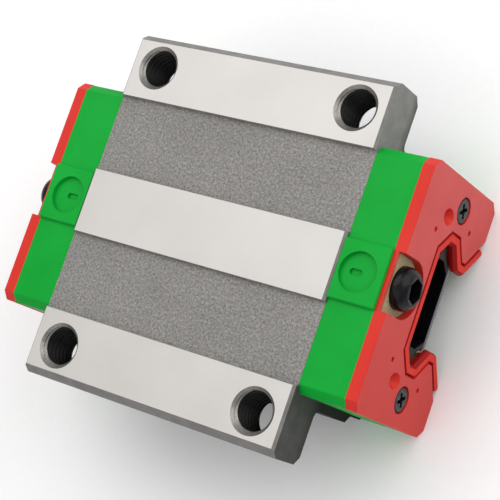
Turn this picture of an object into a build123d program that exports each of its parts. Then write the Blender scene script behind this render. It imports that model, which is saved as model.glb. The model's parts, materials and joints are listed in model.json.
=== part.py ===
"""Flanged linear guide carriage, size 25, with four recirculating ball circuits.

Frame: X runs along the rail, Y across it, Z up. The origin is at the centre of the
bounding box's bottom face. Heights are given as depths below the machined top face,
because that face is what the carriage is made and measured from.
"""
from build123d import *
from math import cos, radians, sin, sqrt
import os

# ---- driving dimensions, mm ----
CARRIAGE_HEIGHT = 30.5      # top face to the underside of the end seals
CARRIAGE_WIDTH = 70.0
BLOCK_LENGTH = 58.0         # steel block alone
CAP_LENGTH = 9.4            # one plastic end cap
PLATE_THICKNESS = 2.4       # one end seal plate

BOLT_SPACING_X = 45.0
BOLT_SPACING_Y = 57.0
TAP_DRILL_RADIUS = 3.4      # M8
BOLT_CHAMFER_RADIUS = 4.45
BOLT_LOWER_CHAMFER_RADIUS = 4.1

FLANGE_THICKNESS = 10.0
BODY_HALF_WIDTH = 24.8
LEG_HALF_WIDTH = 23.3
LEG_DEPTH = 29.0
PAD_RECESS = 1.0            # cast recess between the ground pads
CENTRE_PAD_HALF = 6.35
SIDE_PAD_INNER = 22.0
SIDE_PAD_OUTER = 33.6

BALL_RADIUS = 2.381         # 3/16 inch
BALLS_PER_ROW = 12
BALL_PITCH = BLOCK_LENGTH / BALLS_PER_ROW
LOAD_Y = 11.0
UPPER_LOAD_DEPTH = 14.2
LOWER_LOAD_DEPTH = 21.2
RACEWAY_RADIUS = 2.55
CHANNEL_RADIUS = 2.6
TURN_RADIUS = 4.8
UPPER_TURN_TILT = 42.0      # degrees above level, from load row to return row
LOWER_TURN_TILT = -21.0
TURN_BALL_ANGLES = (30.0, 90.0, 150.0)
TUBE_OUTER_RADIUS = 2.9
TUBE_INNER_RADIUS = 2.55
GUIDE_RADIUS = 4.0
GUIDE_HALF_LENGTH = 2.3

CAP_HALF_WIDTH = 23.0
CAP_TOP_DEPTH = 1.05
CAP_PAD_HALF = 5.6
CAP_PAD_DEPTH = 0.3
PORT_RECESS_RADIUS = 3.75   # sealing-ring seat of the top oil port
PORT_RECESS_DEPTH = 0.85
PORT_CENTRE = 4.3           # from the block's end face
PORT_SLOT_CENTRE = 3.6
PORT_SLOT_LENGTH = 2.6
PORT_SLOT_WIDTH = 1.2

GREASE_DEPTH = 6.0          # axis of the end grease port
GREASE_BORE_RADIUS = 2.65
NOTCH_RADIUS = 5.4
BRIDGE_THICKNESS = 0.9      # strip that joins the plate's halves behind the notch's mouth
BRIDGE_DEPTH = 1.7
GASKET_THICKNESS = 0.9
SCREW_Y = 18.0
SCREW_DEPTH = 17.5
SCREW_RADIUS = 1.4
SCREW_HEAD_RADIUS = 2.5
SCREW_HEAD_HEIGHT = 1.6
SCREW_LENGTH = 18.0
COUNTERBORE_RADIUS = 2.6
POCKET_RADIUS = 1.5         # slanted moulding pocket beside each screw
POCKET_SLANT = 42.0         # degrees from the plate's normal, running upwards into it
POCKET_REACH = 1.5          # along the slanted axis, from the face
MARK_RADIUS = 0.5           # ejector-pin marks
MARK_DEPTH = 0.5

PLATE_OPENING_GAP = 0.75    # gaps are measured out from the rail's own section
LIP_SEAT_GAP = 2.3
LIP_GROOVE_GAP = 2.0        # lip's outer side at the groove's floor, and at its front
LIP_CREST_GAP = 1.7
LIP_BEVEL_GAP = 0.5
LIP_THICKNESS = 1.4
LIP_RAISED = 0.7            # height of the lip's front above the floor of its groove

DUMMY_HALF_LENGTH = 39.6
DUMMY_GROOVE_RADIUS = 2.68

# ---- derived stations ----
BLOCK_END = BLOCK_LENGTH / 2
CAP_END = BLOCK_END + CAP_LENGTH
PLATE_END = CAP_END + PLATE_THICKNESS
ENDS = {"front": 1, "rear": -1}
SIDES = {"left": 1, "right": -1}
CIRCUITS = {
    "upper": (UPPER_LOAD_DEPTH, UPPER_TURN_TILT),
    "lower": (LOWER_LOAD_DEPTH, LOWER_TURN_TILT),
}


# ---- helpers ----
def height(depth):
    """Z of a depth below the top face."""
    return CARRIAGE_HEIGHT - depth


def prism(outline, x_start, x_end):
    """Solid between two X stations whose section is an outline of (y, depth) points."""
    wire = Polyline(*[(y, height(depth)) for y, depth in outline], close=True)
    return extrude(Plane.YZ.offset(x_start) * make_face(wire), amount=x_end - x_start)


def both_sides(half_outline):
    """Closed outline from the +Y half, listed from the centre line round to it again."""
    return half_outline + [(-y, depth) for y, depth in reversed(half_outline) if y > 0]


def mirrored_y(outline):
    return [(-y, depth) for y, depth in outline]


def rod(radius, x_start, x_end, y, depth):
    """Round bar along X."""
    place = Pos((x_start + x_end) / 2, y, height(depth)) * Rot(0, 90, 0)
    return place * Cylinder(radius, abs(x_end - x_start))


def ball(x, y, depth):
    return Pos(x, y, height(depth)) * Sphere(BALL_RADIUS)


def at_end(shape, end):
    """A front (+X) piece, or its mirror image for the rear."""
    return shape if ENDS[end] > 0 else mirror(shape, about=Plane.YZ)


def save(shape, name):
    shape.label = name
    export_step(shape, "parts/" + name + ".step")


# ---- ball circuit layout ----
def return_row(circuit):
    """(y, depth) of the return row on the +Y side."""
    load_depth, tilt = CIRCUITS[circuit]
    reach = 2 * TURN_RADIUS
    return (LOAD_Y + reach * cos(radians(tilt)), load_depth - reach * sin(radians(tilt)))


def turn_frame(circuit, side):
    """Location of a front turn: x along the rail, y from load row to return row."""
    load_depth, tilt = CIRCUITS[circuit]
    sign = SIDES[side]
    centre_y = sign * (LOAD_Y + TURN_RADIUS * cos(radians(tilt)))
    centre_z = height(load_depth) + TURN_RADIUS * sin(radians(tilt))
    across = Vector(0, sign * cos(radians(tilt)), sin(radians(tilt)))
    normal = Vector(1, 0, 0).cross(across)
    return Plane((BLOCK_END, centre_y, centre_z), x_dir=(1, 0, 0), z_dir=normal)


def turn_channel(circuit, side):
    """Half-ring passage that carries balls from the load row to the return row."""
    return turn_frame(circuit, side) * Torus(TURN_RADIUS, CHANNEL_RADIUS)


def guide_blank(circuit, side):
    """Half cylinder that fills the inside of a turn, on the cap's side of the joint."""
    spool = turn_frame(circuit, side) * Cylinder(GUIDE_RADIUS, 2 * GUIDE_HALF_LENGTH)
    cap_side = Pos(BLOCK_END + 10, 0, CARRIAGE_HEIGHT / 2) * Box(20, 100, 100)
    return spool & cap_side


# ---- outlines, +Y half, as (y, depth) ----
def rail_outline(gap):
    """The rail's head and waist, grown outwards by a gap."""
    slant = gap * (sqrt(2) - 1)
    return [
        (0, 14.0 - gap),
        (8.78 + slant, 14.0 - gap),
        (11.4 + gap, 16.62 - slant),
        (11.4 + gap, 18.78 + slant),
        (7.6 + gap, 22.58 + slant),
        (7.6 + gap, 25.9 - slant),
    ]


def block_channel():
    return [
        (0, 12.5),
        (11.32, 12.5),
        (13.6, 14.78),
        (13.6, 20.6),
        (10.0, 24.2),
        (10.0, 26.5),
        (12.5, LEG_DEPTH),
    ]


def block_outer():
    return [
        (0, 0),
        (CENTRE_PAD_HALF, 0),
        (CENTRE_PAD_HALF + 0.25, PAD_RECESS),
        (SIDE_PAD_INNER - 0.25, PAD_RECESS),
        (SIDE_PAD_INNER, 0),
        (SIDE_PAD_OUTER, 0),
        (CARRIAGE_WIDTH / 2, 1.9),
        (CARRIAGE_WIDTH / 2, FLANGE_THICKNESS - 1.5),
        (CARRIAGE_WIDTH / 2 - 1.5, FLANGE_THICKNESS),
        (BODY_HALF_WIDTH + 1.2, FLANGE_THICKNESS),
        (BODY_HALF_WIDTH + 0.35, FLANGE_THICKNESS + 0.35),
        (BODY_HALF_WIDTH, FLANGE_THICKNESS + 1.2),
        (BODY_HALF_WIDTH, 22.1),
        (LEG_HALF_WIDTH, 23.6),
        (LEG_HALF_WIDTH, 27.7),
        (LEG_HALF_WIDTH - 1.3, LEG_DEPTH),
    ]


# ---- steel block ----
def bolt_hole(x, y):
    """Tapped through hole with a 45 degree chamfer at each end."""
    top = BOLT_CHAMFER_RADIUS - TAP_DRILL_RADIUS
    bottom = BOLT_LOWER_CHAMFER_RADIUS - TAP_DRILL_RADIUS
    drill = Pos(x, y, height(FLANGE_THICKNESS / 2)) * Cylinder(TAP_DRILL_RADIUS, FLANGE_THICKNESS)
    sink = Pos(x, y, height(top / 2)) * Cone(TAP_DRILL_RADIUS, BOLT_CHAMFER_RADIUS, top)
    exit_sink = Pos(x, y, height(FLANGE_THICKNESS - bottom / 2)) * Cone(
        BOLT_LOWER_CHAMFER_RADIUS, TAP_DRILL_RADIUS, bottom)
    return drill + sink + exit_sink


def carriage_block():
    block = prism(both_sides(block_outer() + [(0, LEG_DEPTH)]), -BLOCK_END, BLOCK_END)
    end_edges = block.faces().sort_by(Axis.X)[0].edges() + block.faces().sort_by(Axis.X)[-1].edges()
    top_edges = [e for e in end_edges if e.center().Z > height(0.5) and e.length > 2]
    block = chamfer(top_edges, 0.5)
    block -= prism(both_sides(block_channel() + [(12.5, LEG_DEPTH + 1), (0, LEG_DEPTH + 1)]),
                   -BLOCK_END - 1, BLOCK_END + 1)
    for side in SIDES.values():
        for circuit, (load_depth, _) in CIRCUITS.items():
            return_y, return_depth = return_row(circuit)
            block -= rod(RACEWAY_RADIUS, -BLOCK_END - 1, BLOCK_END + 1, side * LOAD_Y, load_depth)
            block -= rod(TUBE_OUTER_RADIUS, -BLOCK_END - 1, BLOCK_END + 1,
                         side * return_y, return_depth)
        for end in ENDS.values():
            block -= rod(SCREW_RADIUS, end * (BLOCK_END - 10), end * (BLOCK_END + 1),
                         side * SCREW_Y, SCREW_DEPTH)
    for x in (-BOLT_SPACING_X / 2, BOLT_SPACING_X / 2):
        for y in (-BOLT_SPACING_Y / 2, BOLT_SPACING_Y / 2):
            block -= bolt_hole(x, y)
    return block


# ---- return tubes and ball retainers ----
def return_tube(circuit, side):
    y, depth = return_row(circuit)
    y *= SIDES[side]
    return (rod(TUBE_OUTER_RADIUS, -BLOCK_END, BLOCK_END, y, depth)
            - rod(TUBE_INNER_RADIUS, -BLOCK_END - 1, BLOCK_END + 1, y, depth))


def cut_load_rows(shape):
    for side in SIDES.values():
        for load_depth, _ in CIRCUITS.values():
            shape -= rod(CHANNEL_RADIUS, -BLOCK_END - 1, BLOCK_END + 1, side * LOAD_Y, load_depth)
    return shape


def top_retainer():
    """Strip under the channel's ceiling that keeps both upper rows in."""
    outline = both_sides([(0, 12.5), (9.6, 12.5), (9.2, 13.65), (0, 13.65)])
    return cut_load_rows(prism(outline, -BLOCK_END, BLOCK_END))


def middle_retainer(side):
    """Strip on the channel's side wall, between an upper row and a lower row."""
    outline = [(13.6, 15.6), (13.6, 19.8), (11.75, 18.9), (11.75, 16.5)]
    if SIDES[side] < 0:
        outline = mirrored_y(outline)
    return cut_load_rows(prism(outline, -BLOCK_END, BLOCK_END))


def lower_retainer(side):
    """Strip on the nose of the leg that keeps a lower row in."""
    outline = [(10.0, 24.2), (10.0, 26.0), (8.4, 26.0), (8.4, 23.2), (9.6, 23.2)]
    if SIDES[side] < 0:
        outline = mirrored_y(outline)
    return cut_load_rows(prism(outline, -BLOCK_END, BLOCK_END))


def bottom_seal(side):
    """Strip under the leg, with a lip that follows the rail's flared foot."""
    outline = [
        (21.6, LEG_DEPTH),
        (21.6, LEG_DEPTH + 0.8),
        (12.45, LEG_DEPTH + 0.8),
        (9.15, 26.5),
        (10.0, 26.5),
        (12.5, LEG_DEPTH),
    ]
    if SIDES[side] < 0:
        outline = mirrored_y(outline)
    return prism(outline, -BLOCK_END, BLOCK_END)


# ---- end caps ----
def cap_outline():
    outer = [
        (0, CAP_TOP_DEPTH),
        (21.5, CAP_TOP_DEPTH),
        (CAP_HALF_WIDTH, CAP_TOP_DEPTH + 1.5),
        (CAP_HALF_WIDTH, 28.4),
        (21.6, 30.0),
        (14.6, 30.0),
    ]
    return outer + list(reversed(rail_outline(0.85)))


def end_cap_front():
    cap = prism(both_sides(cap_outline()), BLOCK_END, CAP_END)
    cap = fillet(cap.edges().filter_by(Axis.X).group_by(Axis.Z)[-1], 0.6)
    pad = prism([(-CAP_PAD_HALF, 2), (-CAP_PAD_HALF, CAP_PAD_DEPTH),
                 (CAP_PAD_HALF, CAP_PAD_DEPTH), (CAP_PAD_HALF, 2)], BLOCK_END, CAP_END)
    pad = chamfer(pad.edges().filter_by(Axis.X).group_by(Axis.Z)[-1], 0.25)
    cap += pad
    port_x = BLOCK_END + PORT_CENTRE
    seat = Pos(port_x, 0, height(CAP_PAD_DEPTH + PORT_RECESS_DEPTH / 2))
    cap -= seat * Cylinder(PORT_RECESS_RADIUS, PORT_RECESS_DEPTH)
    slot_x = BLOCK_END + PORT_SLOT_CENTRE
    slot_depth = CAP_PAD_DEPTH + PORT_RECESS_DEPTH
    slot = Pos(slot_x, 0, height(slot_depth + 0.5)) * SlotOverall(PORT_SLOT_LENGTH, PORT_SLOT_WIDTH)
    cap -= extrude(slot, amount=0.5)
    cap -= rod(GREASE_BORE_RADIUS, CAP_END - 6.5, CAP_END + 1, 0, GREASE_DEPTH)
    for side in SIDES:
        sign = SIDES[side]
        cap -= rod(SCREW_RADIUS + 0.2, BLOCK_END - 1, CAP_END + 1, sign * SCREW_Y, SCREW_DEPTH)
        for circuit in CIRCUITS:
            cap -= turn_channel(circuit, side)
            cap -= guide_blank(circuit, side)
    return cap


def return_guide(circuit, side):
    """Half spool that forms the inner wall of a turn."""
    return guide_blank(circuit, side) - turn_channel(circuit, side)


# ---- end seals ----
def plate_outline(opening):
    outer = [
        (0, CAP_TOP_DEPTH),
        (21.5, CAP_TOP_DEPTH),
        (23.1, CAP_TOP_DEPTH + 1.6),
        (23.1, 28.6),
        (21.5, CARRIAGE_HEIGHT),
        (15.7, CARRIAGE_HEIGHT),
        (14.2, 29.0),
    ]
    return outer + opening


def lip_outline(inner_gap, outer_gap):
    """Band around the rail's section, down to the foot of the plate's flares."""
    inner = rail_outline(inner_gap)
    outer = list(reversed(rail_outline(outer_gap)))
    foot = [
        (12.6 + inner_gap, CARRIAGE_HEIGHT),
        (13.5, CARRIAGE_HEIGHT),
        (14.2 - (LIP_SEAT_GAP - outer_gap) / 2, 29.0 + (LIP_SEAT_GAP - outer_gap)),
    ]
    return both_sides(inner + foot + outer)


def notch(radius, top_depth, x_start, x_end):
    """U-shaped block around the grease port, from a top level down to its round bottom."""
    bar = rod(radius, x_start, x_end, 0, GREASE_DEPTH)
    shoulders = prism([(-radius, top_depth), (-radius, GREASE_DEPTH), (radius, GREASE_DEPTH),
                       (radius, top_depth)], x_start, x_end)
    above = prism([(-radius - 1, top_depth - 9), (-radius - 1, top_depth),
                   (radius + 1, top_depth), (radius + 1, top_depth - 9)], x_start, x_end)
    return bar + shoulders - above


def pocket(y, depth):
    """Slanted blind pocket: its floor ramps up to the plate's face on the lower side."""
    outside = 5
    place = Pos(PLATE_END, y, height(depth)) * Rot(0, 90 + POCKET_SLANT, 0)
    return place * Pos(0, 0, (outside - POCKET_REACH) / 2) * Cylinder(
        POCKET_RADIUS, outside + POCKET_REACH)


def end_seal_plate_front():
    opening = list(reversed(rail_outline(PLATE_OPENING_GAP)))
    flare = [(13.3, 29.7)]
    plate = prism(both_sides(plate_outline(flare + opening)), CAP_END, PLATE_END)
    seat = both_sides(rail_outline(LIP_SEAT_GAP) + [(14.2, 29.0), (14.2, 32), (0, 32)])
    plate -= prism(seat, PLATE_END - LIP_THICKNESS, PLATE_END + 1)
    plate -= notch(NOTCH_RADIUS, -1, CAP_END + BRIDGE_THICKNESS, PLATE_END + 1)
    plate -= notch(NOTCH_RADIUS, BRIDGE_DEPTH, CAP_END - 1, PLATE_END)
    for side in SIDES.values():
        plate -= rod(SCREW_RADIUS + 0.2, CAP_END - 1, PLATE_END + 1, side * SCREW_Y, SCREW_DEPTH)
        plate -= rod(COUNTERBORE_RADIUS, PLATE_END - SCREW_HEAD_HEIGHT - 0.1, PLATE_END + 1,
                     side * SCREW_Y, SCREW_DEPTH)
        plate -= pocket(side * 15.4, 12.3)
        plate -= rod(MARK_RADIUS, PLATE_END - MARK_DEPTH, PLATE_END + 1, side * 12.1, 8.9)
        plate -= rod(MARK_RADIUS, PLATE_END - MARK_DEPTH, PLATE_END + 1, side * 15.2, 22.6)
    return plate


def lip_face(inner_gap, outer_gap, x):
    points = [(y, height(depth)) for y, depth in lip_outline(inner_gap, outer_gap)]
    return Plane.YZ.offset(x) * make_face(Polyline(*points, close=True))


def seal_lip_front():
    """Soft lip in the plate's seat: a base that fills it and a bevelled front inside a groove."""
    floor = PLATE_END - LIP_RAISED
    base = extrude(lip_face(0, LIP_SEAT_GAP, PLATE_END - LIP_THICKNESS), amount=LIP_THICKNESS - LIP_RAISED)
    crest = lip_face(LIP_BEVEL_GAP, LIP_CREST_GAP, PLATE_END)
    return base + loft([lip_face(0, LIP_GROOVE_GAP, floor), crest], ruled=True)


def screw_front(sign):
    """Cross-recessed pan-head screw through plate and cap into the block."""
    head_face = PLATE_END - 0.1
    seat = head_face - SCREW_HEAD_HEIGHT
    screw = rod(SCREW_HEAD_RADIUS, seat, head_face, sign * SCREW_Y, SCREW_DEPTH)
    rim = screw.edges().filter_by(GeomType.CIRCLE).sort_by(Axis.X)[-1]
    screw = fillet(rim, 0.5)
    screw += rod(SCREW_RADIUS, seat - SCREW_LENGTH, seat, sign * SCREW_Y, SCREW_DEPTH)
    centre = Pos(head_face, sign * SCREW_Y, height(SCREW_DEPTH))
    for turn in (0, 90):
        screw -= centre * Rot(turn + 30, 0, 0) * Box(1.8, 2.9, 0.7)
    return screw - centre * Rot(0, 90, 0) * Cone(0.4, 1.0, 2.2)


def cap_screws_front():
    return Compound(children=[screw_front(sign) for sign in SIDES.values()])


# ---- grease port ----
def grease_plug_front():
    """Domed plug with a hexagon socket, screwed into the end grease port."""
    z = height(GREASE_DEPTH)
    outline = [
        (CAP_END - 5.0, 0),
        (CAP_END - 5.0, 2.1),
        (CAP_END - 4.4, 2.6),
        (CAP_END + GASKET_THICKNESS, 2.6),
        (CAP_END + GASKET_THICKNESS, 4.0),
        (PLATE_END - 0.7, 4.0),
    ]
    nose = (PLATE_END + 1.5, 2.7)
    body = Polyline(*outline)
    dome = ThreePointArc(outline[-1], (PLATE_END + 0.65, 3.6), nose)
    close = Polyline(nose, (nose[0], 0), outline[0])
    section = make_face(body + dome + close)
    plug = revolve(Plane.XZ * section, axis=Axis.X)
    socket = extrude(Plane.YZ.offset(PLATE_END - 0.9) * RegularPolygon(2.4, 6, rotation=15), amount=3)
    return Pos(0, 0, z) * (plug - socket)


def port_gasket_front():
    """Fibre washer under the plug's collar, shaped to the notch in the plate."""
    gasket = notch(NOTCH_RADIUS - 0.1, BRIDGE_DEPTH + 0.1, CAP_END, CAP_END + GASKET_THICKNESS)
    return gasket - rod(GREASE_BORE_RADIUS, CAP_END - 1, CAP_END + 1, 0, GREASE_DEPTH)


# ---- balls ----
def row_of_balls(y, depth):
    first = -(BALLS_PER_ROW - 1) / 2 * BALL_PITCH
    return Compound(children=[ball(first + i * BALL_PITCH, y, depth) for i in range(BALLS_PER_ROW)])


def turn_of_balls(circuit, side, end):
    """Three balls on the half circle between the load row and the return row."""
    frame = turn_frame(circuit, side)
    balls = []
    for angle in TURN_BALL_ANGLES:
        forward = TURN_RADIUS * sin(radians(angle))
        across = -TURN_RADIUS * cos(radians(angle))
        balls.append(frame * Pos(forward, across, 0) * Sphere(BALL_RADIUS))
    return at_end(Compound(children=balls), end)


# ---- mounting rail ----
def dummy_rail():
    """Hollow plastic rail that keeps the balls in until the carriage goes on its rail."""
    outer = both_sides([(0, 14.3), (8.6, 14.3), (11.1, 16.8), (11.1, 18.6), (7.2, 22.5), (0, 22.5)])
    hollow = both_sides([(0, 15.3), (7.1, 15.3), (8.4, 16.6), (8.4, 18.6), (6.4, 21.5), (0, 21.5)])
    rail = prism(outer, -DUMMY_HALF_LENGTH, DUMMY_HALF_LENGTH)
    rail -= prism(hollow, -DUMMY_HALF_LENGTH - 1, DUMMY_HALF_LENGTH + 1)
    for side in SIDES.values():
        for load_depth, _ in CIRCUITS.values():
            rail -= rod(DUMMY_GROOVE_RADIUS, -DUMMY_HALF_LENGTH - 1, DUMMY_HALF_LENGTH + 1,
                        side * LOAD_Y, load_depth)
    return rail


# ---- write every node ----
def build():
    save(carriage_block(), "carriage_block")
    save(top_retainer(), "top_retainer")
    save(dummy_rail(), "dummy_rail")
    for end in ENDS:
        save(at_end(end_cap_front(), end), "end_cap_" + end)
        save(at_end(end_seal_plate_front(), end), "end_seal_plate_" + end)
        save(at_end(seal_lip_front(), end), "seal_lip_" + end)
        save(at_end(cap_screws_front(), end), "cap_screws_" + end)
        save(at_end(grease_plug_front(), end), "grease_plug_" + end)
        save(at_end(port_gasket_front(), end), "port_gasket_" + end)
    for side in SIDES:
        save(middle_retainer(side), "middle_retainer_" + side)
        save(lower_retainer(side), "lower_retainer_" + side)
        save(bottom_seal(side), "bottom_seal_" + side)
        for circuit, (load_depth, _) in CIRCUITS.items():
            name = circuit + "_" + side
            return_y, return_depth = return_row(circuit)
            save(return_tube(circuit, side), "return_tube_" + name)
            save(row_of_balls(SIDES[side] * LOAD_Y, load_depth), "load_balls_" + name)
            save(row_of_balls(SIDES[side] * return_y, return_depth), "return_balls_" + name)
            for end in ENDS:
                save(at_end(return_guide(circuit, side), end), "return_guide_" + name + "_" + end)
                save(turn_of_balls(circuit, side, end), "turn_balls_" + name + "_" + end)


os.makedirs("parts", exist_ok=True)
build()
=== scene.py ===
"""Looks of a flanged linear guide carriage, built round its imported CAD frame."""
import json
import math

import bmesh
import bpy
from mathutils import Matrix, Vector


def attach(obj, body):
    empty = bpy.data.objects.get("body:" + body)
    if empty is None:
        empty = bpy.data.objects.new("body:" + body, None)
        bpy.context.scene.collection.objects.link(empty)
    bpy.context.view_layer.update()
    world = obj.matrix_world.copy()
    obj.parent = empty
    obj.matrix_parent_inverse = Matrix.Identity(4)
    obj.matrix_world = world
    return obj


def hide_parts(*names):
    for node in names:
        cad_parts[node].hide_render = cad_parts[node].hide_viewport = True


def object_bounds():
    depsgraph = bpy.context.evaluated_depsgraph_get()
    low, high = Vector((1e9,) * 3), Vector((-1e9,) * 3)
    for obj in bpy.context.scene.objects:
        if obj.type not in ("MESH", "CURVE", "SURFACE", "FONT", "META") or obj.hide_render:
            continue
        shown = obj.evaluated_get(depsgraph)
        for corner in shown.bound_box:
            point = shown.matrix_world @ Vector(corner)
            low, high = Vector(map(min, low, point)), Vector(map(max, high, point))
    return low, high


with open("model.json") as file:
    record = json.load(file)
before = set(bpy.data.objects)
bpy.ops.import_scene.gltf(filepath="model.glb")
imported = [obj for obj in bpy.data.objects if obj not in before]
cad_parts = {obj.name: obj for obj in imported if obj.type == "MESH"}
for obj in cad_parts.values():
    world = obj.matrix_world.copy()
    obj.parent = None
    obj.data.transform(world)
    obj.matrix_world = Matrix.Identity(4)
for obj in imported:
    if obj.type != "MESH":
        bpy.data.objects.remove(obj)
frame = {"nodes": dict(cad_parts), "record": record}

CAD_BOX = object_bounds()
LOW, HIGH = CAD_BOX
MM = 0.001
TOP = HIGH.z
CARRIAGE = "carriage"

# ---- camera and studio ----
CAMERA_PLACE = Vector((159.9, -31.2, 263.8)) * MM
CAMERA_RIGHT = Vector((0.8172, 0.3243, -0.4765))
CAMERA_UP = Vector((-0.2185, 0.9393, 0.2646))
CAMERA_LENS = 111.0
CAMERA_SHIFT = (-0.0071, -0.0120)

FLOOR_HALF = 1.6
FLOOR_CELLS = 40
FLOOR_DROP = 0.0002
WORLD_STRENGTH = 0.52
AREA_LIGHTS = {                # place in metres, side in metres, power in watts
    "key": ((-0.27, 0.34, 0.70), 0.75, 3.1),
    "fill": ((0.45, 0.38, 0.35), 0.7, 2.5),
    "low": ((-0.10, -0.55, 0.55), 0.9, 1.3),
}

# ---- tapped holes, from the record ----
BOLTS = next(m for m in frame["record"]["mounts"] if m["name"] == "top_bolt_holes")
BOLT_X = BOLTS["dims"]["spacing_x_mm"] * MM / 2
BOLT_Y = BOLTS["dims"]["spacing_y_mm"] * MM / 2
CREST_RADIUS = BOLTS["dims"]["hole_r_mm"] * MM
ROOT_RADIUS = 4.03 * MM
THREAD_PITCH = 1.25 * MM
SINK_RADIUS = 4.45 * MM
EXIT_RADIUS = 4.1 * MM
FLANGE = 10 * MM
PAD_OUTER = 33.6 * MM
THREAD_SIDES = 96
THREAD_STEP = 0.078 * MM      # drop between two rings of the helix's mesh
THREAD_TOP = 0.4 * MM         # where the sleeve starts, below the top face
THREAD_MARGIN = 0.6 * MM      # flange thickness that the sleeve leaves free in all
THREAD_CREST = 0.12           # shares of half a pitch taken by the crest and by the flank
THREAD_FLANK = 0.72
SLEEVE_BACK = 0.02 * MM       # sleeve's thickness behind the thread's root


# ---------------------------------------------------------------- materials
class Shader:
    """A material's node tree, with short calls for the nodes that it needs."""

    def __init__(self, name):
        self.material = bpy.data.materials.new(name)
        self.material.use_nodes = True
        self.tree = self.material.node_tree
        self.surface = self.tree.nodes["Principled BSDF"]
        self.coordinates = self.tree.nodes.new("ShaderNodeTexCoord")
        scale = self.tree.nodes.new("ShaderNodeMapping")
        scale.inputs["Scale"].default_value = (1000, 1000, 1000)
        self.tree.links.new(self.coordinates.outputs["Object"], scale.inputs["Vector"])
        self.millimetres = scale.outputs["Vector"]

    def stretched(self, x, y, z):
        node = self.tree.nodes.new("ShaderNodeMapping")
        node.inputs["Scale"].default_value = (x, y, z)
        self.tree.links.new(self.millimetres, node.inputs["Vector"])
        return node.outputs["Vector"]

    def noise(self, scale, detail=3.0, roughness=0.5, vector=None):
        node = self.tree.nodes.new("ShaderNodeTexNoise")
        node.inputs["Scale"].default_value = scale
        node.inputs["Detail"].default_value = detail
        node.inputs["Roughness"].default_value = roughness
        self.tree.links.new(vector or self.millimetres, node.inputs["Vector"])
        return node.outputs["Fac"]

    def ramp(self, value, *stops):
        node = self.tree.nodes.new("ShaderNodeValToRGB")
        elements = node.color_ramp.elements
        while len(elements) < len(stops):
            elements.new(0.5)
        for element, (place, colour) in zip(elements, stops):
            element.position = place
            element.color = (*colour, 1)
        self.tree.links.new(value, node.inputs["Fac"])
        return node.outputs["Color"]

    def span(self, value, low, high):
        """A 0..1 texture value turned into a range of numbers."""
        node = self.tree.nodes.new("ShaderNodeMapRange")
        node.inputs["From Min"].default_value = 0.25
        node.inputs["From Max"].default_value = 0.75
        node.inputs["To Min"].default_value = low
        node.inputs["To Max"].default_value = high
        self.tree.links.new(value, node.inputs["Value"])
        return node.outputs["Result"]

    def mix(self, factor, first, second, blend="MIX"):
        node = self.tree.nodes.new("ShaderNodeMix")
        node.data_type = "RGBA"
        node.blend_type = blend
        for socket, value in ((0, factor), (6, first), (7, second)):
            if isinstance(value, (int, float)):
                node.inputs[socket].default_value = value
            elif isinstance(value, tuple):
                node.inputs[socket].default_value = (*value, 1)
            else:
                self.tree.links.new(value, node.inputs[socket])
        return node.outputs[2]

    def bump(self, value, distance, strength=1.0, under=None):
        node = self.tree.nodes.new("ShaderNodeBump")
        node.inputs["Strength"].default_value = strength
        node.inputs["Distance"].default_value = distance * MM
        self.tree.links.new(value, node.inputs["Height"])
        if under is not None:
            self.tree.links.new(under, node.inputs["Normal"])
        return node.outputs["Normal"]

    def along(self, axis, low, high):
        """0..1 along one of the object's axes, between two places in millimetres."""
        split = self.tree.nodes.new("ShaderNodeSeparateXYZ")
        self.tree.links.new(self.millimetres, split.inputs[0])
        return self.scaled(split.outputs[axis], low, high)

    def facing(self, axis, low, high):
        """0..1 as the surface turns to face either way along one of the object's axes."""
        split = self.tree.nodes.new("ShaderNodeSeparateXYZ")
        size = self.tree.nodes.new("ShaderNodeMath")
        size.operation = "ABSOLUTE"
        self.tree.links.new(self.coordinates.outputs["Normal"], split.inputs[0])
        self.tree.links.new(split.outputs[axis], size.inputs[0])
        return self.scaled(size.outputs[0], low, high)

    def both(self, first, second):
        """Product of two factors."""
        node = self.tree.nodes.new("ShaderNodeMath")
        node.operation = "MULTIPLY"
        self.tree.links.new(first, node.inputs[0])
        self.tree.links.new(second, node.inputs[1])
        return node.outputs[0]

    def scaled(self, value, low, high):
        node = self.tree.nodes.new("ShaderNodeMapRange")
        node.inputs["From Min"].default_value = low
        node.inputs["From Max"].default_value = high
        self.tree.links.new(value, node.inputs["Value"])
        return node.outputs["Result"]

    def set(self, **values):
        names = {"colour": "Base Color", "rough": "Roughness", "metal": "Metallic",
                 "normal": "Normal", "specular": "Specular IOR Level"}
        for key, value in values.items():
            socket = self.surface.inputs[names[key]]
            if isinstance(value, (int, float)):
                socket.default_value = value
            elif isinstance(value, tuple):
                socket.default_value = (*value, 1)
            else:
                self.tree.links.new(value, socket)
        return self.material


def cast_steel(name, shade=1.0):
    s = Shader(name)
    grain = s.noise(2.1, 3, 0.7)
    fine = s.noise(4.5, 3, 0.7)
    patches = s.noise(0.12, 3, 0.55)
    dark, mid, light = (tuple(shade * c for c in tone) for tone in (
        (0.135, 0.129, 0.120), (0.245, 0.235, 0.221), (0.40, 0.387, 0.366)))
    speckle = s.ramp(s.mix(0.40, grain, fine), (0.38, dark), (0.50, mid), (0.64, light))
    clouds = s.ramp(patches, (0.3, (0.88, 0.88, 0.88)), (0.7, (1.0, 1.0, 1.0)))
    colour = s.mix(1.0, speckle, clouds, "MULTIPLY")
    pits = s.bump(grain, 0.12, 0.7, s.bump(fine, 0.06, 0.6))
    return s.set(colour=colour, rough=s.span(grain, 0.52, 0.70), metal=0.15, specular=0.3,
                 normal=pits)


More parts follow.
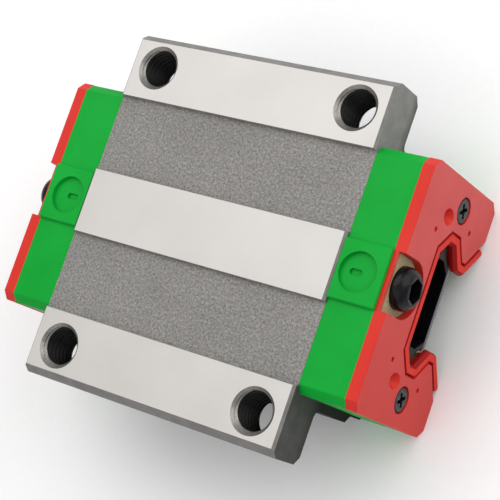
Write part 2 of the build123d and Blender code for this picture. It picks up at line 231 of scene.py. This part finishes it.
def ground_steel():
    s = Shader("ground_steel")
    lines = s.noise(1.0, 4, 0.6, s.stretched(0.06, 9.0, 9.0))
    cloud = s.noise(0.09, 3, 0.5)
    tone = s.ramp(lines, (0.30, (0.547, 0.525, 0.499)), (0.70, (0.586, 0.564, 0.538)))
    clouds = s.ramp(cloud, (0.3, (0.518, 0.496, 0.474)), (0.7, (0.602, 0.581, 0.555)))
    colour = s.mix(0.4, tone, clouds)
    return s.set(colour=colour, rough=s.span(lines, 0.40, 0.48), metal=0.45,
                 normal=s.bump(lines, 0.010, 0.3))


def sawn_steel():
    """End faces: smooth grey at the flanges, with painted shade: darker grey towards −Y and near
    black below the flanges.
    """
    s = Shader("sawn_steel")
    film = s.noise(0.35, 4, 0.6)
    fine = s.noise(4.0, 3, 0.6)
    clean = s.ramp(film, (0.3, (0.170, 0.170, 0.163)), (0.7, (0.225, 0.225, 0.217)))
    # painted shade: darker grey for the end faces towards −Y
    painted_shade_grey = s.ramp(film, (0.3, (0.045, 0.047, 0.044)), (0.7, (0.070, 0.072, 0.067)))
    # painted shade: near black for the end faces below the flanges
    black = s.ramp(film, (0.3, (0.006, 0.007, 0.006)), (0.7, (0.011, 0.012, 0.011)))
    upper = s.mix(s.along("Y", -24.0, 24.0), painted_shade_grey, clean)
    colour = s.mix(s.along("Z", 19.0, 23.0), black, upper)
    return s.set(colour=colour, rough=s.span(fine, 0.48, 0.62), metal=0.2, specular=0.2,
                 normal=s.bump(fine, 0.02, 0.4))


def milled_steel():
    s = Shader("milled_steel")
    film = s.noise(0.35, 4, 0.6)
    fine = s.noise(4.0, 3, 0.6, s.stretched(0.2, 1.0, 1.0))
    colour = s.ramp(film, (0.3, (0.165, 0.158, 0.152)), (0.7, (0.225, 0.216, 0.208)))
    return s.set(colour=colour, rough=s.span(fine, 0.46, 0.60), metal=0.2, specular=0.2,
                 normal=s.bump(fine, 0.03, 0.5))


def shaded_bore_steel():
    s = Shader("shaded_bore_steel")
    film = s.noise(1.4, 4, 0.6)
    # near black: painted shade for the inside of the tapped holes
    colour = s.ramp(film, (0.3, (0.003, 0.0028, 0.0025)), (0.7, (0.012, 0.011, 0.010)))
    return s.set(colour=colour, rough=s.span(film, 0.32, 0.46), metal=0.3, specular=0.2,
                 normal=s.bump(film, 0.02, 0.3))


def turned_steel():
    s = Shader("turned_steel")
    film = s.noise(3.0, 3, 0.5)
    colour = s.ramp(film, (0.3, (0.20, 0.19, 0.175)), (0.7, (0.32, 0.305, 0.285)))
    return s.set(colour=colour, rough=s.span(film, 0.30, 0.42), metal=0.7,
                 normal=s.bump(film, 0.01, 0.3))


def moulded(name, low, high, rough, specular=0.25):
    """Injection-moulded plastic: fine matt skin over slow flow marks."""
    s = Shader(name)
    flow = s.noise(0.10, 3, 0.5)
    skin = s.noise(5.0, 3, 0.6)
    colour = s.ramp(flow, (0.3, low), (0.7, high))
    normal = s.bump(skin, 0.012, 0.5, s.bump(flow, 0.15, 0.12))
    return s.set(colour=colour, rough=s.span(skin, rough - 0.05, rough + 0.05), normal=normal,
                 specular=specular)


def red_plastic():
    """Red moulding: bright on its top and sides; its end face takes a paler painted sheen, which
    gives way to painted shade, a deeper red, towards −Y.
    """
    s = Shader("red_plastic")
    flow = s.noise(0.10, 3, 0.5)
    skin = s.noise(4.0, 4, 0.7)
    bright = s.ramp(flow, (0.3, (0.60, 0.022, 0.012)), (0.7, (0.66, 0.029, 0.017)))
    # painted sheen: paler, greyer red for the end face
    painted_sheen = s.ramp(s.mix(0.3, flow, skin), (0.3, (0.49, 0.052, 0.048)), (0.7, (0.57, 0.078, 0.074)))
    # painted shade: the sheen gives way to a deeper red towards −Y
    face_sheen_and_shade = s.mix(s.along("Y", -24.0, 12.0), s.mix(0.25, (0.50, 0.018, 0.010), painted_sheen), painted_sheen)
    colour = s.mix(s.facing("X", 0.80, 0.98), bright, face_sheen_and_shade)
    return s.set(colour=colour, rough=s.span(skin, 0.42, 0.52), specular=0.22,
                 normal=s.bump(skin, 0.02, 0.5))


def red_rubber():
    """Red lip, with painted shade on its slopes, which lie in the groove round the opening: deeper
    red there than on its front.
    """
    s = Shader("red_rubber")
    skin = s.noise(4.0, 3, 0.6)
    crest = s.ramp(skin, (0.3, (0.55, 0.020, 0.011)), (0.7, (0.62, 0.028, 0.016)))
    # painted shade for the lip's slopes in the groove
    painted_groove_shade = s.ramp(skin, (0.3, (0.27, 0.003, 0.003)), (0.7, (0.33, 0.005, 0.004)))
    colour = s.mix(s.facing("X", 0.85, 0.97), painted_groove_shade, crest)
    return s.set(colour=colour, rough=s.span(skin, 0.45, 0.55), specular=0.15,
                 normal=s.bump(skin, 0.012, 0.5))


def plug_steel():
    s = Shader("plug_steel")
    film = s.noise(1.6, 4, 0.6)
    fine = s.noise(8.0, 2, 0.5)
    colour = s.ramp(film, (0.3, (0.002, 0.002, 0.003)), (0.7, (0.007, 0.007, 0.009)))
    return s.set(colour=colour, rough=s.span(film, 0.20, 0.32), metal=0.1, specular=0.22,
                 normal=s.bump(fine, 0.01, 0.4, s.bump(film, 0.03, 0.3)))


def screw_steel():
    """Black screw whose flat top is rubbed to grey."""
    s = Shader("screw_steel")
    film = s.noise(1.6, 4, 0.6)
    black = s.ramp(film, (0.3, (0.006, 0.006, 0.007)), (0.7, (0.014, 0.014, 0.016)))
    rubbed = s.ramp(film, (0.35, (0.004, 0.005, 0.006)), (0.65, (0.056, 0.066, 0.071)))
    colour = s.mix(s.facing("X", 0.975, 0.999), black, rubbed)
    return s.set(colour=colour, rough=s.span(film, 0.30, 0.42), metal=0.3, specular=0.3,
                 normal=s.bump(s.noise(6.0, 2), 0.012, 0.4))


def black_plastic():
    """Black moulding, with a painted highlight, a paler grey, on the ends of its lowest wall."""
    s = Shader("black_plastic")
    flow = s.noise(0.15, 3, 0.5)
    skin = s.noise(5.0, 3, 0.6)
    black = s.ramp(flow, (0.3, (0.002, 0.002, 0.003)), (0.7, (0.005, 0.005, 0.006)))
    # painted highlight on the ends of the lowest wall
    painted_highlight = s.ramp(skin, (0.3, (0.08, 0.084, 0.088)), (0.7, (0.18, 0.185, 0.19)))
    end_of_floor = s.both(s.along("Z", 9.05, 8.85), s.facing("X", 0.3, 0.8))
    colour = s.mix(end_of_floor, black, painted_highlight)
    return s.set(colour=colour, rough=s.span(skin, 0.24, 0.34), specular=0.18,
                 normal=s.bump(skin, 0.012, 0.5))


def fibre_sheet():
    s = Shader("fibre_sheet")
    fibres = s.noise(2.2, 5, 0.7, s.stretched(1.0, 2.5, 0.8))
    colour = s.ramp(fibres, (0.3, (0.25, 0.20, 0.10)), (0.7, (0.44, 0.37, 0.20)))
    return s.set(colour=colour, rough=0.72, normal=s.bump(fibres, 0.05, 0.5))


def ball_steel():
    s = Shader("ball_steel")
    haze = s.noise(1.2, 3, 0.5)
    colour = s.ramp(haze, (0.3, (0.60, 0.60, 0.61)), (0.7, (0.70, 0.70, 0.71)))
    return s.set(colour=colour, rough=s.span(haze, 0.07, 0.13), metal=1.0)


def studio_floor():
    s = Shader("studio_floor")
    paper = s.noise(0.8, 3, 0.5)
    colour = s.ramp(paper, (0.3, (0.94, 0.94, 0.94)), (0.7, (0.96, 0.96, 0.96)))
    return s.set(colour=colour, rough=0.85, normal=s.bump(paper, 0.02, 0.2))


MATERIALS = {
    "cast": cast_steel("cast_steel"),
    # painted shade: cast steel at a twentieth of its tone, for the block's faces below the flanges
    "shade": cast_steel("painted_shade_cast_steel", 0.05),
    "ground": ground_steel(),
    "sawn": sawn_steel(),
    "milled": milled_steel(),
    "bore": shaded_bore_steel(),
    "turned": turned_steel(),
    "green": moulded("green_plastic", (0.002, 0.315, 0.028), (0.004, 0.358, 0.038), 0.42,
                     specular=0.10),
    "red": red_plastic(),
    "red_lip": red_rubber(),
    "rubber": moulded("black_rubber", (0.010, 0.011, 0.012), (0.020, 0.022, 0.024), 0.55),
    "dummy": black_plastic(),
    "ivory": moulded("ivory_plastic", (0.62, 0.58, 0.46), (0.70, 0.66, 0.54), 0.45),
    "retainer": moulded("retainer_plastic", (0.012, 0.012, 0.014), (0.022, 0.022, 0.025), 0.45),
    "screw": screw_steel(),
    "plug": plug_steel(),
    "fibre": fibre_sheet(),
    "balls": ball_steel(),
}


# ---------------------------------------------------------------- mesh helpers
def dress(node, key):
    """Puts a material on a CAD node that stays."""
    for slot in frame["nodes"][node].material_slots:
        slot.material = MATERIALS[key]


def link(name, mesh):
    piece = bpy.data.objects.new(name, mesh)
    bpy.context.scene.collection.objects.link(piece)
    return piece


def clean_copy(node):
    """A CAD node's shape as a welded bmesh, with flat faces merged."""
    work = bmesh.new()
    work.from_mesh(frame["nodes"][node].data)
    bmesh.ops.remove_doubles(work, verts=work.verts, dist=0.0005 * MM)
    bmesh.ops.dissolve_limit(work, angle_limit=math.radians(0.4), verts=work.verts,
                             edges=work.edges)
    bmesh.ops.recalc_face_normals(work, faces=work.faces)
    return work


def to_piece(name, work, materials, smooth_angle=32):
    """A linked object from a bmesh, smooth but for its sharp edges."""
    for edge in work.edges:
        if len(edge.link_faces) == 2:
            edge.smooth = edge.calc_face_angle(0) < math.radians(smooth_angle)
    for face in work.faces:
        face.smooth = True
    mesh = bpy.data.meshes.new(name)
    work.to_mesh(mesh)
    work.free()
    for key in materials:
        mesh.materials.append(MATERIALS[key])
    return link(name, mesh)


def soften(piece, width, segments=2, angle=32):
    """Rounds every sharp edge by a small radius."""
    bevel = piece.modifiers.new("soft_edges", "BEVEL")
    bevel.width = width * MM
    bevel.segments = segments
    bevel.limit_method = "ANGLE"
    bevel.angle_limit = math.radians(angle)
    bevel.harden_normals = True
    bevel.use_clamp_overlap = True
    return piece


def stand_for(piece, node, body=CARRIAGE):
    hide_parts(node)
    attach(piece, body)


def softened_node(node, key, width, segments=2, body=CARRIAGE):
    """A CAD node with rounded edges, in place of the sharp one."""
    piece = soften(to_piece(node + "_finished", clean_copy(node), [key]), width, segments)
    stand_for(piece, node, body)


# ---------------------------------------------------------------- steel block
def hole_centres():
    return [(x, y) for x in (-BOLT_X, BOLT_X) for y in (-BOLT_Y, BOLT_Y)]


def near_hole(point):
    """(centre, distance from its axis) of the nearest tapped hole."""
    centre = min(hole_centres(), key=lambda c: math.hypot(point.x - c[0], point.y - c[1]))
    return centre, math.hypot(point.x - centre[0], point.y - centre[1])


def block_look(face):
    """Which of the block's materials a face takes."""
    centre, normal = face.calc_center_median(), face.normal
    if near_hole(centre)[1] < SINK_RADIUS and abs(normal.z) < 0.95:
        return "turned" if normal.z > 0.05 else "bore"
    if normal.z > 0.99 and centre.z > TOP - 0.02 * MM:
        return "ground"
    if abs(normal.x) > 0.5 and abs(centre.x) > HIGH.x / 2:
        return "milled" if normal.z > 0.3 else "sawn"
    if abs(centre.y) > PAD_OUTER:
        return "milled"
    # faces below the flange take the painted shade material
    if centre.z < TOP - FLANGE + 0.1 * MM:
        return "shade"
    return "cast"


def steel_block():
    """The block, its tapped holes opened to the thread's root so that the threads fit in."""
    work = clean_copy("carriage_block")
    for vert in work.verts:
        (x, y), distance = near_hole(vert.co)
        if abs(distance - CREST_RADIUS) < 0.05 * MM:
            grow = ROOT_RADIUS / distance
            vert.co.x = x + (vert.co.x - x) * grow
            vert.co.y = y + (vert.co.y - y) * grow
    work.normal_update()
    looks = ["cast", "ground", "turned", "bore", "sawn", "milled", "shade"]
    for face in work.faces:
        face.material_index = looks.index(block_look(face))
    piece = to_piece("block_finished", work, looks)
    soften(piece, 0.16, 2)
    stand_for(piece, "carriage_block")


def thread_radius(turn, drop):
    """Radius of the threaded wall at a fraction of a turn and a drop below the top face."""
    phase = (drop / THREAD_PITCH + turn) % 1.0
    flank = abs(phase - 0.5) * 2
    wave = min(max((flank - THREAD_CREST) / THREAD_FLANK, 0.0), 1.0)
    wall = CREST_RADIUS + (ROOT_RADIUS - CREST_RADIUS) * wave
    cone = max(SINK_RADIUS - drop, EXIT_RADIUS - (FLANGE - drop))
    return max(wall, min(cone, ROOT_RADIUS))


def thread_ring(work, centre, drop, radius):
    """Ring of vertices round a hole, its radius a function of the fraction of a turn."""
    ring = []
    for k in range(THREAD_SIDES):
        turn = k / THREAD_SIDES
        r, angle = radius(turn), 2 * math.pi * turn
        place = (centre[0] + r * math.cos(angle), centre[1] + r * math.sin(angle), TOP - drop)
        ring.append(work.verts.new(place))
    return ring


def threads():
    """Helical thread inside each tapped hole, as a closed sleeve."""
    rows = int((FLANGE - THREAD_MARGIN) / THREAD_STEP)
    drops = [THREAD_TOP + row * THREAD_STEP for row in range(rows + 1)]
    for number, centre in enumerate(hole_centres()):
        work = bmesh.new()
        rings = [thread_ring(work, centre, drop, lambda turn, drop=drop: thread_radius(turn, drop))
                 for drop in drops]
        rings += [thread_ring(work, centre, drop, lambda turn: ROOT_RADIUS + SLEEVE_BACK)
                  for drop in (drops[-1], drops[0])]
        rings.append(rings[0])
        for upper, lower in zip(rings, rings[1:]):
            for k in range(THREAD_SIDES):
                after = (k + 1) % THREAD_SIDES
                work.faces.new((upper[k], lower[k], lower[after], upper[after]))
        bmesh.ops.recalc_face_normals(work, faces=work.faces)
        for face in work.faces:
            face.material_index = face.calc_center_median().z > TOP - (SINK_RADIUS - CREST_RADIUS)
        piece = to_piece(f"thread_{number}", work, ["bore", "turned"], smooth_angle=50)
        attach(piece, CARRIAGE)


# ---------------------------------------------------------------- ends
def ends():
    for end in ("front", "rear"):
        softened_node("end_cap_" + end, "green", 0.18, 3)
        softened_node("end_seal_plate_" + end, "red", 0.14, 3)
        softened_node("cap_screws_" + end, "screw", 0.08, 2)
        softened_node("grease_plug_" + end, "plug", 0.15, 2)
        dress("seal_lip_" + end, "red_lip")
        dress("port_gasket_" + end, "fibre")


# ---------------------------------------------------------------- the rest
def inner_parts():
    for node in frame["nodes"]:
        if "balls" in node:
            dress(node, "balls")
        elif node.startswith("return_"):
            dress(node, "ivory")
        elif "retainer" in node:
            dress(node, "retainer")
        elif node.startswith("bottom_seal"):
            dress(node, "rubber")
    softened_node("dummy_rail", "dummy", 0.2, 2, "dummy_rail")


# ---------------------------------------------------------------- studio
def camera():
    data = bpy.data.cameras.new("camera")
    data.lens = CAMERA_LENS
    data.sensor_width = 36
    data.shift_x, data.shift_y = CAMERA_SHIFT
    data.clip_start, data.clip_end = 0.01, 20
    place = link("camera", data)
    back = CAMERA_RIGHT.cross(CAMERA_UP)
    turn = Matrix((CAMERA_RIGHT, CAMERA_UP, back)).transposed()
    place.matrix_world = Matrix.Translation(CAMERA_PLACE) @ turn.to_4x4()
    bpy.context.scene.camera = place


def area_light(name, place, side, power):
    """Square light that faces the middle of the part's foot."""
    data = bpy.data.lights.new(name, "AREA")
    data.shape = "RECTANGLE"
    data.size, data.size_y = side, side
    data.energy = power
    light = link(name, data)
    place = Vector(place)
    turn = (-place).to_track_quat("-Z", "Y").to_matrix().to_4x4()
    light.matrix_world = Matrix.Translation(place) @ turn


def floor():
    work = bmesh.new()
    bmesh.ops.create_grid(work, x_segments=FLOOR_CELLS, y_segments=FLOOR_CELLS, size=FLOOR_HALF)
    mesh = bpy.data.meshes.new("floor")
    work.to_mesh(mesh)
    work.free()
    mesh.materials.append(studio_floor())
    piece = link("floor", mesh)
    piece.location.z = LOW.z - FLOOR_DROP


def studio():
    scene = bpy.context.scene
    scene.view_settings.view_transform = "Standard"
    world = bpy.data.worlds.new("studio")
    scene.world = world
    world.use_nodes = True
    background = world.node_tree.nodes["Background"]
    background.inputs["Color"].default_value = (1, 1, 1, 1)
    background.inputs["Strength"].default_value = WORLD_STRENGTH
    floor()
    for name, (place, side, power) in AREA_LIGHTS.items():
        area_light(name, place, side, power)


camera()
studio()
steel_block()
threads()
ends()
inner_parts()

bpy.context.view_layer.update()
